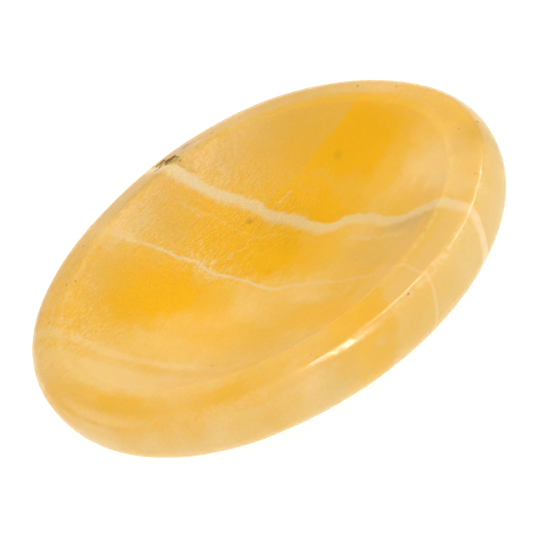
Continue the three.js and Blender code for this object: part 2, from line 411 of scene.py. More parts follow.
def stone_rings(shape):
    """Every ring of the stone, from the edge of its flat to near the middle of its dish, with its gloss and painted
    highlight.

    The gloss is 1 where handling has rubbed the stone brightest and 0 where the dish was only ground. The painted
    highlight is 1 on the lines of the ridge and the dish's edge.
    """
    angle = np.linspace(0, 2 * math.pi, shape.around, endpoint=False)
    flat = [outside_ring(shape, angle, shape.flat_share * s, 0.0, 0.0) for s in np.linspace(0.1, 0.9, 6)]
    below = [underside_ring(shape, angle, t) for t in np.linspace(0, 1, 32)]
    ridge, edge = wall_ring(shape, angle, 1.0), dish_ring(shape, angle, 1.0)
    softer = 1 + shape.softness * np.cos(angle - shape.soft_side)
    ridge_reach = shape.ridge_round * softer
    slope = np.linalg.norm(wall_ring(shape, angle, 0.8) - ridge, axis=1)
    top_of_wall = 1 - 0.2 * ridge_reach / slope
    wall = [wall_ring(shape, angle, top_of_wall * r) for r in np.linspace(0, 0.95, 10)[1:]]
    ridge_rings = rounded_rings(wall_ring(shape, angle, top_of_wall), ridge, part_way(ridge, edge, ridge_reach), 14)
    edge_reach = shape.dish_edge_round * softer
    last = 1 - edge_reach / np.hypot(edge[:, 0] - shape.dish_x, edge[:, 1] - shape.dish_y)
    edge_rings = rounded_rings(part_way(edge, ridge, edge_reach), edge, dish_ring(shape, angle, last), 16)
    across = edge_rings[0] - ridge_rings[-1]
    margin = [ridge_rings[-1] + across * s for s in (0.2, 0.4, 0.6, 0.8)]
    dish = [dish_ring(shape, angle, last * s) for s in np.linspace(1, 0.02, 68)[1:]]
    parts = (
        (flat, (0.3, 0.3), (0.0,)), (below, (0.3, 0.4), (0.0,)), (wall, (0.4, 0.5), (0.0,)),
        (ridge_rings, (0.6, 1.0, 0.7), (0.0, 0.7, 1.0, 0.6, 0.0)), (margin, (0.5, 0.4), (0.0,)),
        (edge_rings, (0.4, 0.4, 0.25), (0.0, 0.0, 1.0, 0.0, 0.0)), (dish, (0.25, 0.0, 0.0, 0.0), (0.0,)),
    )
    rings = []
    for part, gloss, painted_highlight_lines in parts:
        along = np.linspace(0, 1, len(part))
        spread = [np.interp(along, np.linspace(0, 1, len(values)), values) for values in (gloss, painted_highlight_lines)]
        rings += list(zip(part, *spread))
    return rings


def stone_mesh(shape):
    """The stone as one closed mesh: rings joined around, with a point in the middle of the flat and of the dish."""
    rings, gloss, painted_highlight_lines = zip(*stone_rings(shape))
    around = shape.around
    points = np.vstack([*rings, [[0.0, 0.0, 0.0]],
                        [[shape.dish_x, shape.dish_y, shape.dish_edge_height - shape.dish_depth]]])
    flat_middle, dish_middle = len(points) - 2, len(points) - 1
    step = np.arange(around)
    following = (step + 1) % around
    faces = []
    for i in range(len(rings) - 1):
        low, up = i * around, (i + 1) * around
        faces += np.column_stack([low + step, low + following, up + following, up + step]).tolist()
    top = (len(rings) - 1) * around
    faces += [(flat_middle, int(b), int(a)) for a, b in zip(step, following)]
    faces += [(top + int(a), top + int(b), dish_middle) for a, b in zip(step, following)]
    mesh = bpy.data.meshes.new("worry_stone_polished")
    mesh.from_pydata(points.tolist(), [], faces)
    for name, values in (("gloss", gloss), ("painted_highlight_lines", painted_highlight_lines)):
        spread = np.append(np.repeat(values, around), [values[0], values[-1]])
        mesh.attributes.new(name, "FLOAT", "POINT").data.foreach_set("value", spread.astype(np.float32))
    mesh.update()
    return mesh


def refine_near(mesh, places, cuts):
    """Cuts the long edges near each place finer, so that a pit has enough points. A place has a point and a reach."""
    bm = bmesh.new()
    bm.from_mesh(mesh)
    for centre, reach in places:
        edges = [e for e in bm.edges if e.calc_length() > LONG_EDGE and (e.verts[0].co - centre).length < reach
                 and (e.verts[1].co - centre).length < reach]
        bmesh.ops.subdivide_edges(bm, edges=edges, cuts=cuts, use_grid_fill=True)
    bmesh.ops.triangulate(bm, faces=[f for f in bm.faces if len(f.verts) > 4])
    bm.to_mesh(mesh)
    bm.free()


def coordinates(mesh):
    """The mesh's points and normals as arrays."""
    points = np.empty(len(mesh.vertices) * 3)
    mesh.vertices.foreach_get("co", points)
    normals = np.empty(len(mesh.vertices) * 3)
    mesh.vertex_normals.foreach_get("vector", normals)
    return points.reshape(-1, 3), normals.reshape(-1, 3)


def carve(points, normals, centre, half, turn, roughness, seed):
    """Pushes the points inside a lump back to its far side and returns how deep each one went, in metres."""
    c, s = math.cos(turn), math.sin(turn)
    to_lump = np.array([[c, s, 0], [-s, c, 0], [0, 0, 1]])
    near = np.nonzero(np.linalg.norm(points - centre, axis=1) < 1.3 * max(half))[0]
    depth = np.zeros(len(points))
    for i in near:
        offset = Vector(points[i] / MM * 2.2) + Vector((seed, 0, 0))
        size = np.array(half) * (1 + roughness * noise.noise(offset))
        p = to_lump @ (points[i] - centre) / size
        d = -(to_lump @ normals[i]) / size
        if p @ p < 1:
            b, a = p @ d, d @ d
            depth[i] = (-b + math.sqrt(b * b - a * (p @ p - 1))) / a
    points -= normals * depth[:, None]
    return depth


def surface_height(shape, x, y):
    """Height of the top at this place, from the rings of the margin and the dish."""
    angle = np.array([math.atan2(y / shape.width, x / shape.length)])
    rings = [wall_ring(shape, angle, 1.0)[0], dish_ring(shape, angle, 1.0)[0]]
    rings += [dish_ring(shape, angle, s)[0] for s in np.linspace(0.95, 0.05, 19)]
    far = [math.hypot(r[0], r[1]) for r in rings]
    return float(np.interp(math.hypot(x, y), far[::-1], [r[2] for r in rings][::-1]))


def worn_surface(mesh, shape):
    """Adds the slow waves of hand grinding, the chip and the pits, and marks how scarred each point is."""
    points, normals = coordinates(mesh)
    upper = points[points[:, 2] > shape.girdle_height]
    pits = []
    for x, y, *rest in PITS:
        nearest = upper[np.argmin(np.hypot(upper[:, 0] - x * MM, upper[:, 1] - y * MM))]
        pits.append((Vector((x * MM, y * MM, nearest[2])), *rest))
    chips = [(Vector(at) * MM, [h * MM for h in half], turn) for at, half, turn in CHIP_SCALLOPS]
    refine_near(mesh, [(at, 1.5 * max(half)) for at, half, turn in chips], 3)
    refine_near(mesh, [(at, (1.2 * long + 0.3) * MM) for at, long, *rest in pits], 3)
    points, normals = coordinates(mesh)
    free = np.clip(points[:, 2] / (1.0 * MM), 0, 1)
    slow = np.array([noise.noise(Vector(p / MM * 0.22)) + 0.4 * noise.noise(Vector(p / MM * 0.55))
                     + 0.1 * noise.noise(Vector(p / MM * 1.4)) for p in points])
    points += normals * (slow * free * shape.waviness)[:, None]
    scar = np.zeros(len(points))
    for seed, (at, half, turn) in enumerate(chips):
        broken = carve(points, normals, np.array(at), half, turn, 0.5, 5 * seed) / MM
        scar = np.maximum(scar, np.interp(broken, (0.0, 0.02, 0.06, 0.13, 0.3), (0.0, 1.0, 0.75, 0.2, 0.1)))
    for seed, (at, long, wide, deep, dirt) in enumerate(pits):
        turn = math.atan2(at.y, at.x) + math.pi / 2
        half = [long * MM, wide * MM, deep * MM]
        scar += dirt * np.clip(carve(points, normals, np.array(at), half, turn, 0.6, 9 + seed) / (0.05 * MM), 0, 1)
    mesh.vertices.foreach_set("co", points.ravel())
    attribute = mesh.attributes.new("scar", "FLOAT", "POINT")
    attribute.data.foreach_set("value", np.clip(scar, 0, 1).astype(np.float32))
    mesh.update()


def add_node(tree, kind, inputs=None, output=0, **settings):
    """Adds a node with its settings, links the inputs that are sockets and returns one of its outputs."""
    node = tree.nodes.new(kind)
    for name, value in settings.items():
        setattr(node, name, value)
    for name, value in (inputs or {}).items():
        if isinstance(value, bpy.types.NodeSocket):
            tree.links.new(value, node.inputs[name])
        else:
            node.inputs[name].default_value = value
    return node.outputs[output] if node.outputs else None


def drawn_line(tree, value, points, swing=1.0):
    """A smooth line drawn through points of value and result. No result may be larger than swing."""
    start, end = points[0][0], points[-1][0]
    share = add_node(tree, "ShaderNodeMapRange", {"Value": value, "From Min": start, "From Max": end})
    result = add_node(tree, "ShaderNodeFloatCurve", {"Value": share})
    line = result.node.mapping.curves[0]
    placed = [((at - start) / (end - start), 0.5 + result / (2 * swing)) for at, result in points]
    line.points[0].location = placed[0]
    line.points[1].location = placed[-1]
    for x, y in placed[1:-1]:
        line.points.new(x, y)
    result.node.mapping.update()
    return add_node(tree, "ShaderNodeMath", {0: result, 1: 2 * swing, 2: -swing}, operation="MULTIPLY_ADD")


class Directions:
    """Sockets that tell a material where in the stone it is, in millimetres."""

    def __init__(self, tree):
        at = add_node(tree, "ShaderNodeTexCoord", output="Object")
        self.place = add_node(tree, "ShaderNodeVectorMath", {0: at, "Scale": 1 / MM}, operation="SCALE")
        wobble = add_node(tree, "ShaderNodeTexNoise", {"Vector": self.place, "Scale": 0.55, "Detail": 3.0}, "Color")
        shift = add_node(tree, "ShaderNodeVectorMath", {0: wobble, 1: (0.5, 0.5, 0.5)}, operation="SUBTRACT")
        self.bent = add_node(tree, "ShaderNodeVectorMath", {0: shift, 1: (0.5, 0.5, 0.5), 2: self.place},
                             operation="MULTIPLY_ADD")
        loose = add_node(tree, "ShaderNodeVectorMath", {0: shift, 1: (3.5, 3.5, 3.5), 2: self.place},
                         operation="MULTIPLY_ADD")
        parts = add_node(tree, "ShaderNodeSeparateXYZ", {0: self.place}).node
        self.x, self.y, self.height = parts.outputs
        self.across = add_node(tree, "ShaderNodeVectorMath", {0: self.bent, 1: ACROSS_LAYERS}, "Value",
                               operation="DOT_PRODUCT")
        self.along = add_node(tree, "ShaderNodeVectorMath", {0: self.place, 1: ALONG_LAYERS}, "Value",
                              operation="DOT_PRODUCT")
        self.sheeted = add_node(tree, "ShaderNodeCombineXYZ", {0: self.across, 1: self.along, 2: self.height})
        far = add_node(tree, "ShaderNodeVectorMath", {0: loose, 1: ACROSS_LAYERS}, "Value", operation="DOT_PRODUCT")
        on = add_node(tree, "ShaderNodeVectorMath", {0: loose, 1: ALONG_LAYERS}, "Value", operation="DOT_PRODUCT")
        self.layered = add_node(tree, "ShaderNodeCombineXYZ", {0: far, 1: on, 2: self.height})


def cloud(tree, where, shape, patch):
    """A soft patch whose middle is where the layers meet the top at x and y."""
    x, y, half_across, half_along, strength = patch
    centre = Vector((x, y, surface_height(shape, x * MM, y * MM) / MM))
    middle = (centre.dot(ACROSS_LAYERS), centre.dot(ALONG_LAYERS), centre.z)
    away = add_node(tree, "ShaderNodeVectorMath", {0: where.layered, 1: middle}, operation="SUBTRACT")
    size = (1 / half_across, 1 / half_along, 1 / CLOUD_HEIGHT)
    away = add_node(tree, "ShaderNodeVectorMath", {0: away, 1: size}, operation="MULTIPLY")
    away = add_node(tree, "ShaderNodeVectorMath", {0: away}, "Value", operation="LENGTH")
    return add_node(tree, "ShaderNodeMapRange", {"Value": away, "From Min": 1.3, "From Max": 0.3, "To Max": strength},
                    interpolation_type="SMOOTHSTEP")


def past_face(tree, where, face, blur):
    """1 beyond a crystal face, 0 before it, and a blur between them, in millimetres."""
    (x, y), reach = face
    past = add_node(tree, "ShaderNodeVectorMath", {0: where.bent, 1: (x, y, 0.0)}, "Value", operation="DOT_PRODUCT")
    return add_node(tree, "ShaderNodeMapRange", {"Value": past, "From Min": reach - blur, "From Max": reach + blur},
                    interpolation_type="SMOOTHSTEP")


def direction_around(tree, where, shape):
    """Direction from the middle of the oval in degrees, from the right end, as if the oval were a circle."""
    upright = add_node(tree, "ShaderNodeMath", {0: where.y, 1: shape.length / shape.width}, operation="MULTIPLY")
    around = add_node(tree, "ShaderNodeMath", {0: upright, 1: where.x}, operation="ARCTAN2")
    return add_node(tree, "ShaderNodeMath", {0: around}, operation="DEGREES")


def honey_depth(tree, where, around, shape, outward, texture):
    """How deep the honey colour is: 0 is milky and 1 is deep. texture is how strongly the stone is mottled."""
    stretched = add_node(tree, "ShaderNodeVectorMath", {0: where.layered, 1: (1.0, 0.4, 0.6)}, operation="MULTIPLY")
    broad = add_node(tree, "ShaderNodeTexNoise", {"Vector": stretched, "Scale": 1 / 4.0, "Detail": 3.0})
    depth = add_node(tree, "ShaderNodeMath", {0: broad, 1: 0.5, 2: 0.17}, operation="MULTIPLY_ADD")
    for patch in CLOUDS:
        depth = add_node(tree, "ShaderNodeMath", {0: depth, 1: cloud(tree, where, shape, patch)}, operation="ADD")
    crystal = cloud(tree, where, shape, (*CRYSTAL, 0.4))
    for face, blur in CRYSTAL_FACES:
        outside = past_face(tree, where, face, blur)
        inside = add_node(tree, "ShaderNodeMath", {0: 1.0, 1: outside}, operation="SUBTRACT")
        crystal = add_node(tree, "ShaderNodeMath", {0: crystal, 1: inside}, operation="MULTIPLY")
    depth = add_node(tree, "ShaderNodeMath", {0: depth, 1: crystal}, operation="ADD")

    # The oldest layers show as bands
    old = add_node(tree, "ShaderNodeMapRange", {"Value": where.along, "From Min": -5.0, "From Max": 3.0},
                   interpolation_type="SMOOTHSTEP")
    layers = drawn_line(tree, where.across, OLD_LAYERS)
    depth = add_node(tree, "ShaderNodeMath", {0: old, 1: layers, 2: depth}, operation="MULTIPLY_ADD")
    mottle = add_node(tree, "ShaderNodeTexNoise", {"Vector": where.layered, "Scale": 1 / 0.9, "Detail": 5.0,
                                                   "Roughness": 0.7})
    mottle = add_node(tree, "ShaderNodeMath", {0: mottle, 1: 0.5}, operation="SUBTRACT")
    mottle = add_node(tree, "ShaderNodeMath", {0: mottle, 1: texture}, operation="MULTIPLY")
    depth = add_node(tree, "ShaderNodeMath", {0: mottle, 1: 1.4, 2: depth}, operation="MULTIPLY_ADD")

    # The stone is milkier in some stretches of the rim
    for line, start, full, fading, end in ((INSIDE_EDGE, 0.62, 0.74, 0.83, 0.87), (RIM, 0.83, 0.88, 0.94, 0.98),
                                           (WALL, 0.94, 0.98, 2.0, 3.0)):
        change = drawn_line(tree, around, line)
        for low, high in ((start, full), (end, fading)):
            part = add_node(tree, "ShaderNodeMapRange", {"Value": outward, "From Min": low, "From Max": high},
                            interpolation_type="SMOOTHSTEP")
            change = add_node(tree, "ShaderNodeMath", {0: change, 1: part}, operation="MULTIPLY")
        depth = add_node(tree, "ShaderNodeMath", {0: depth, 1: change}, operation="ADD")

    # The rim is thin and paler, and the wall is milky with faint upright streaks
    thin = add_node(tree, "ShaderNodeMapRange", {"Value": outward, "From Min": 0.8, "From Max": 0.9, "To Max": -0.15},
                    interpolation_type="SMOOTHSTEP")
    depth = add_node(tree, "ShaderNodeMath", {0: depth, 1: thin}, operation="ADD")
    wall = add_node(tree, "ShaderNodeMapRange", {"Value": outward, "From Min": 0.93, "From Max": 0.985},
                    interpolation_type="SMOOTHSTEP")
    stretched = add_node(tree, "ShaderNodeVectorMath", {0: where.place, 1: (1.0, 1.0, 0.12)}, operation="MULTIPLY")
    streaks = add_node(tree, "ShaderNodeTexNoise", {"Vector": stretched, "Scale": 1 / 1.3, "Detail": 3.0})
    streaks = add_node(tree, "ShaderNodeMath", {0: streaks, 1: 0.3, 2: -0.26}, operation="MULTIPLY_ADD")
    return add_node(tree, "ShaderNodeMath", {0: wall, 1: streaks, 2: depth}, operation="MULTIPLY_ADD")


def sheets_beside_vein(tree, where):
    """1 in the two clear sheets beside the main vein, where the fibres are plainest."""
    share = 1.0
    for value, start, end in ((where.across, -4.5, -2.5), (where.across, 8.0, 4.5), (where.along, -5.0, 2.0)):
        part = add_node(tree, "ShaderNodeMapRange", {"Value": value, "From Min": start, "From Max": end},
                        interpolation_type="SMOOTHSTEP")
        share = add_node(tree, "ShaderNodeMath", {0: part, 1: share}, operation="MULTIPLY")
    return share


def fibre_grain(tree, where):
    """Fine fibres, 0.22 mm apart, that cross the layers."""
    turned = add_node(tree, "ShaderNodeVectorRotate", {"Vector": where.place, "Angle": -FIBRE_ANGLE},
                      rotation_type="Z_AXIS")
    stretched = add_node(tree, "ShaderNodeVectorMath", {0: turned, 1: (0.35, 1.0, 0.6)}, operation="MULTIPLY")
    return add_node(tree, "ShaderNodeTexNoise", {"Vector": stretched, "Scale": 1 / 0.22, "Detail": 3.0,
                                                 "Roughness": 0.65})


def lay_vein(tree, where, body, cream, vein):
    """Lays one vein over the body colour. It dips under the older side, where the clear stone blurs its edge."""
    sheet, bends, half_width, strength = vein
    ragged = add_node(tree, "ShaderNodeTexNoise", {"Vector": where.place, "Scale": 1 / 0.9, "Detail": 4.0,
                                                   "Roughness": 0.65})
    ragged = add_node(tree, "ShaderNodeMath", {0: ragged, 1: 0.5}, operation="SUBTRACT")
    off = add_node(tree, "ShaderNodeMath", {0: where.across, 1: sheet}, operation="SUBTRACT")
    bend = drawn_line(tree, where.along, bends)
    off = add_node(tree, "ShaderNodeMath", {0: off, 1: bend}, operation="SUBTRACT")
    off = add_node(tree, "ShaderNodeMath", {0: ragged, 1: 0.8 * half_width, 2: off}, operation="MULTIPLY_ADD")
    young = add_node(tree, "ShaderNodeMapRange", {"Value": off, "From Min": 1.1 * half_width,
                                                  "From Max": 0.5 * half_width}, interpolation_type="SMOOTHSTEP")
    older = add_node(tree, "ShaderNodeMapRange", {"Value": off, "From Min": -1.7 * half_width,
                                                  "From Max": -0.3 * half_width}, interpolation_type="SMOOTHSTEP")
    share = add_node(tree, "ShaderNodeMath", {0: young, 1: older}, operation="MULTIPLY")
    share = add_node(tree, "ShaderNodeMath", {0: share, 1: drawn_line(tree, where.along, strength)},
                     operation="MULTIPLY")
    return add_node(tree, "ShaderNodeMix", {SHARE: share, UNDER: body, OVER: cream}, MIXED, data_type="RGBA")


def lay_crack(tree, where, body, cream, crack):
    """Lays a thin, wandering line of cream calcite between two points over the body colour."""
    start, end, half_width, strength = Vector(crack[0]), Vector(crack[1]), crack[2], crack[3]
    line = end - start
    wander = add_node(tree, "ShaderNodeTexNoise", {"Vector": where.place, "Scale": 1 / 1.1, "Detail": 4.0}, "Color")
    wander = add_node(tree, "ShaderNodeVectorMath", {0: wander, 1: (0.5, 0.5, 0.5)}, operation="SUBTRACT")
    bent = add_node(tree, "ShaderNodeVectorMath", {0: wander, 1: (2.0, 2.0, 1.0), 2: where.place},
                    operation="MULTIPLY_ADD")
    offset = add_node(tree, "ShaderNodeVectorMath", {0: bent, 1: start}, operation="SUBTRACT")
    share = add_node(tree, "ShaderNodeVectorMath", {0: offset, 1: line / line.length_squared}, "Value",
                     operation="DOT_PRODUCT")
    share = add_node(tree, "ShaderNodeClamp", {"Value": share})
    nearest = add_node(tree, "ShaderNodeVectorMath", {0: line, "Scale": share}, operation="SCALE")
    away = add_node(tree, "ShaderNodeVectorMath", {0: offset, 1: nearest}, "Value", operation="DISTANCE")
    opaque = add_node(tree, "ShaderNodeMapRange", {"Value": away, "From Min": 1.8 * half_width,
                                                   "From Max": 0.3 * half_width, "To Max": strength},
                      interpolation_type="SMOOTHSTEP")
    return add_node(tree, "ShaderNodeMix", {SHARE: opaque, UNDER: body, OVER: cream}, MIXED, data_type="RGBA")


def calcite_material(shape, colours):
    """Yellow calcite, sawn to shape, ground and polished by hand: a soft wax-like gloss over a milky glow."""
    material = bpy.data.materials.new("yellow_calcite_soft_polish")
    material.use_nodes = True
    tree = material.node_tree
    tree.nodes.clear()
    where = Directions(tree)
    oval = (2 * MM / shape.length, 2 * MM / shape.width, 0.0)
    outward = add_node(tree, "ShaderNodeVectorMath", {0: where.place, 1: oval}, operation="MULTIPLY")
    outward = add_node(tree, "ShaderNodeVectorMath", {0: outward}, "Value", operation="LENGTH")
    sheets = sheets_beside_vein(tree, where)
    open_fibres = add_node(tree, "ShaderNodeMapRange", {"Value": where.y, "From Min": -1.0, "From Max": 3.5,
                                                        "To Min": 0.15, "To Max": 0.6},
                           interpolation_type="SMOOTHSTEP")
    open_fibres = add_node(tree, "ShaderNodeMath", {0: sheets, 1: 0.5, 2: open_fibres}, operation="MULTIPLY_ADD")
    smooth_end = add_node(tree, "ShaderNodeMapRange", {"Value": where.x, "From Min": 4.0, "From Max": 9.0,
                                                       "To Min": 1.0, "To Max": 0.5}, interpolation_type="SMOOTHSTEP")
    open_fibres = add_node(tree, "ShaderNodeMath", {0: open_fibres, 1: smooth_end}, operation="MULTIPLY")
    ground_smooth = add_node(tree, "ShaderNodeMapRange", {"Value": where.height, "From Min": 1.0, "From Max": 4.5,
                                                          "To Min": 0.0, "To Max": 1.0})
    open_fibres = add_node(tree, "ShaderNodeMath", {0: open_fibres, 1: ground_smooth}, operation="MULTIPLY")
    around = direction_around(tree, where, shape)
    depth = honey_depth(tree, where, around, shape, outward, open_fibres)

    fibres = fibre_grain(tree, where)
    clear = add_node(tree, "ShaderNodeMath", {0: open_fibres, 1: 2.4}, operation="MULTIPLY")
    centred = add_node(tree, "ShaderNodeMath", {0: fibres, 1: 0.5}, operation="SUBTRACT")
    depth = add_node(tree, "ShaderNodeMath", {0: centred, 1: clear, 2: depth}, operation="MULTIPLY_ADD")
    depth = add_node(tree, "ShaderNodeMath", {0: depth, 1: DEEP_STOP}, operation="MULTIPLY")
    body = add_node(tree, "ShaderNodeValToRGB", {"Fac": depth})
    stops = body.node.color_ramp.elements
    stops[0].position, stops[0].color = 0.0, colours.pale
    stops[1].position, stops[1].color = 1.0, colours.deepest
    stops.new(0.45 * DEEP_STOP).color = colours.honey
    stops.new(DEEP_STOP).color = colours.deep

    # Duller stone beyond the crystal's long face and along the far rim, joined by the dull patches and the margin and
    # wall curves, which add painted shade and a painted grey reflection
    dull_and_shade = past_face(tree, where, *CRYSTAL_FACES[0])
    for value, start, end, low, high in ((where.x, -3.0, 8.0, 0.0, 1.0), (where.y, 5.0, 14.0, 0.2, 0.6)):
        part = add_node(tree, "ShaderNodeMapRange", {"Value": value, "From Min": start, "From Max": end,
                                                     "To Min": low, "To Max": high}, interpolation_type="SMOOTHSTEP")
        dull_and_shade = add_node(tree, "ShaderNodeMath", {0: dull_and_shade, 1: part}, operation="MULTIPLY")
    for patch in DULL_AND_SHADE_CLOUDS:
        dull_and_shade = add_node(tree, "ShaderNodeMath", {0: dull_and_shade, 1: cloud(tree, where, shape, patch)}, operation="MAXIMUM")
    for line, zones in ((MARGIN_DULL_AND_SHADE, ((0.79, 0.84), (0.98, 0.95))), (WALL_PAINTED_SHADE, ((0.93, 0.97),))):
        band = drawn_line(tree, around, line)
        for start, end in zones:
            part = add_node(tree, "ShaderNodeMapRange", {"Value": outward, "From Min": start, "From Max": end},
                            interpolation_type="SMOOTHSTEP")
            band = add_node(tree, "ShaderNodeMath", {0: part, 1: band}, operation="MULTIPLY")
        dull_and_shade = add_node(tree, "ShaderNodeMath", {0: dull_and_shade, 1: band}, operation="MAXIMUM")
    # The painted shade on the far wall fades out low down
    shade_fades = -0.8
    for value, start, end in ((outward, 0.93, 0.97), (where.y, 0.0, 6.0), (where.height, 7.2, 5.0)):
        part = add_node(tree, "ShaderNodeMapRange", {"Value": value, "From Min": start, "From Max": end},
                        interpolation_type="SMOOTHSTEP")
        shade_fades = add_node(tree, "ShaderNodeMath", {0: part, 1: shade_fades}, operation="MULTIPLY")
    dull_and_shade = add_node(tree, "ShaderNodeMath", {0: dull_and_shade, 1: shade_fades, 2: dull_and_shade}, operation="MULTIPLY_ADD")
    body = add_node(tree, "ShaderNodeMix", {SHARE: dull_and_shade, UNDER: body, OVER: colours.grey}, MIXED, data_type="RGBA")
    # Painted shade in grey beside the main vein and along the far silhouette
    for patch in GREY_SHADE_CLOUDS:
        share = cloud(tree, where, shape, patch)
        body = add_node(tree, "ShaderNodeMix", {SHARE: share, UNDER: body, OVER: colours.shade_grey}, MIXED,
                        data_type="RGBA")

    # Pale feathers of calcite lie along the fibres beside the main vein
    wisps = add_node(tree, "ShaderNodeTexNoise", {"Vector": where.sheeted, "Scale": 1 / 0.7, "Detail": 5.0,
                                                  "Roughness": 0.75, "Distortion": 0.8})
    wisps = add_node(tree, "ShaderNodeMapRange", {"Value": wisps, "From Min": 0.56, "From Max": 0.76, "To Max": 0.3},
                     interpolation_type="SMOOTHSTEP")
    wisps = add_node(tree, "ShaderNodeMath", {0: wisps, 1: sheets}, operation="MULTIPLY")
    body = add_node(tree, "ShaderNodeMix", {SHARE: wisps, UNDER: body, OVER: colours.vein}, MIXED, data_type="RGBA")

    for crack in CRACKS:
        body = lay_crack(tree, where, body, colours.vein, crack)
    on_wall = add_node(tree, "ShaderNodeMapRange", {"Value": outward, "From Min": 0.88, "From Max": 0.97},
                       interpolation_type="SMOOTHSTEP")
    cream = add_node(tree, "ShaderNodeMix", {SHARE: on_wall, UNDER: colours.vein, OVER: colours.band}, MIXED,
                     data_type="RGBA")
    for vein in VEINS:
        body = lay_vein(tree, where, body, cream, vein)
    for x, y, half, strength in STAINS:
        at = (x, y, surface_height(shape, x * MM, y * MM) / MM)
        away = add_node(tree, "ShaderNodeVectorMath", {0: where.bent, 1: at}, "Value", operation="DISTANCE")
        share = add_node(tree, "ShaderNodeMapRange", {"Value": away, "From Min": 1.2 * half, "From Max": 0.0,
                                                      "To Max": strength}, interpolation_type="SMOOTHSTEP")
        body = add_node(tree, "ShaderNodeMix", {SHARE: share, UNDER: body, OVER: colours.stain}, MIXED, data_type="RGBA")
    # Painted shade along the far rim's edge, and dirt by the chip
    for line in DIRT_AND_SHADE_LINES:
        body = lay_crack(tree, where, body, colours.scar, line)
    # Painted highlight: broken patches of wall cream whiten the ridge line, and painted glints the line of the dish's
    # edge
    painted_highlight_mask = add_node(tree, "ShaderNodeTexNoise", {"Vector": where.place, "Scale": 1 / 0.5, "Detail": 2.0})
    painted_highlight_mask = add_node(tree, "ShaderNodeMapRange", {"Value": painted_highlight_mask, "From Min": 0.37, "From Max": 0.63})
    painted_highlight_lines = add_node(tree, "ShaderNodeAttribute", output="Fac", attribute_name="painted_highlight_lines")
    painted_highlight_mask = add_node(tree, "ShaderNodeMath", {0: painted_highlight_mask, 1: painted_highlight_lines}, operation="MULTIPLY")
    on_ridge = add_node(tree, "ShaderNodeMapRange", {"Value": outward, "From Min": 0.87, "From Max": 0.9})
    off_ridge = add_node(tree, "ShaderNodeMath", {0: 1.0, 1: on_ridge}, operation="SUBTRACT")
    on_ridge = add_node(tree, "ShaderNodeMath", {0: on_ridge, 1: drawn_line(tree, around, RIDGE_PAINTED_HIGHLIGHT)},
                        operation="MULTIPLY")
    highlight_strength = add_node(tree, "ShaderNodeMath", {0: off_ridge, 1: drawn_line(tree, around, EDGE_PAINTED_GLINTS), 2: on_ridge},
                    operation="MULTIPLY_ADD")
    painted_highlight_mask = add_node(tree, "ShaderNodeMath", {0: painted_highlight_mask, 1: highlight_strength}, operation="MULTIPLY")
    body = add_node(tree, "ShaderNodeMix", {SHARE: painted_highlight_mask, UNDER: body, OVER: colours.band}, MIXED, data_type="RGBA")

    grain_and_painted_light = add_node(tree, "ShaderNodeTexNoise", {"Vector": where.place, "Scale": 1 / 0.16, "Detail": 2.0,
                                                 "Roughness": 0.7})
    grain_and_painted_light = add_node(tree, "ShaderNodeMath", {0: grain_and_painted_light, 1: 0.5}, operation="SUBTRACT")
    grain_and_painted_light = add_node(tree, "ShaderNodeMath", {0: grain_and_painted_light, 1: open_fibres}, operation="MULTIPLY")
    grain_and_painted_light = add_node(tree, "ShaderNodeMath", {0: grain_and_painted_light, 1: 0.4, 2: 1.0}, operation="MULTIPLY_ADD")
    # Painted light and painted shade: patches where the colour is made brighter or darker
    for patch in PAINTED_LIGHT_CLOUDS:
        grain_and_painted_light = add_node(tree, "ShaderNodeMath", {0: grain_and_painted_light, 1: cloud(tree, where, shape, patch)}, operation="ADD")
    body = add_node(tree, "ShaderNodeVectorMath", {0: body, "Scale": grain_and_painted_light}, operation="SCALE")
    scar = add_node(tree, "ShaderNodeAttribute", output="Fac", attribute_name="scar")
    body = add_node(tree, "ShaderNodeMix", {SHARE: scar, UNDER: body, OVER: colours.scar}, MIXED, data_type="RGBA")

    # The softer fibres wore away under the hand, most of all in the dish
    inside = add_node(tree, "ShaderNodeMapRange", {"Value": outward, "From Min": 0.93, "From Max": 0.8, "To Min": 0.1,
                                                   "To Max": 1.0}, interpolation_type="SMOOTHSTEP")
    peel = add_node(tree, "ShaderNodeTexNoise", {"Vector": where.place, "Scale": 1 / 1.2, "Detail": 3.0})
    peel = add_node(tree, "ShaderNodeMath", {0: peel, 1: 0.5}, operation="MULTIPLY")
    inside = add_node(tree, "ShaderNodeMath", {0: inside, 1: open_fibres}, operation="MULTIPLY")
    relief = add_node(tree, "ShaderNodeMath", {0: fibres, 1: inside, 2: peel}, operation="MULTIPLY_ADD")
    bump = add_node(tree, "ShaderNodeBump", {"Height": relief, "Strength": 1.0, "Distance": 0.085 * MM})
    rubbed = add_node(tree, "ShaderNodeAttribute", output="Fac", attribute_name="gloss")
    roughness = add_node(tree, "ShaderNodeMapRange", {"Value": rubbed, "To Min": 0.33, "To Max": 0.12})
    shader = add_node(tree, "ShaderNodeBsdfPrincipled", {
        "Base Color": body, "Roughness": roughness, "IOR": 1.49, "Normal": bump,
        "Subsurface Weight": 1.0, "Subsurface Radius": (1.0, 0.55, 0.2), "Subsurface Scale": 2.5 * MM,
    })
    add_node(tree, "ShaderNodeOutputMaterial", {"Surface": shader})
    return material


def table_material(glow):
    """Opal acrylic over a lamp: a light table, which keeps the ground white up to the stone."""
    material = bpy.data.materials.new("opal_acrylic_light_table")
    material.use_nodes = True
    shader = material.node_tree.nodes["Principled BSDF"]
    shader.inputs["Base Color"].default_value = hex_colour("#8C8C8C")
    shader.inputs["Roughness"].default_value = 0.6
    shader.inputs["Emission Color"].default_value = hex_colour("#FFFFFF")
    shader.inputs["Emission Strength"].default_value = glow
    return material


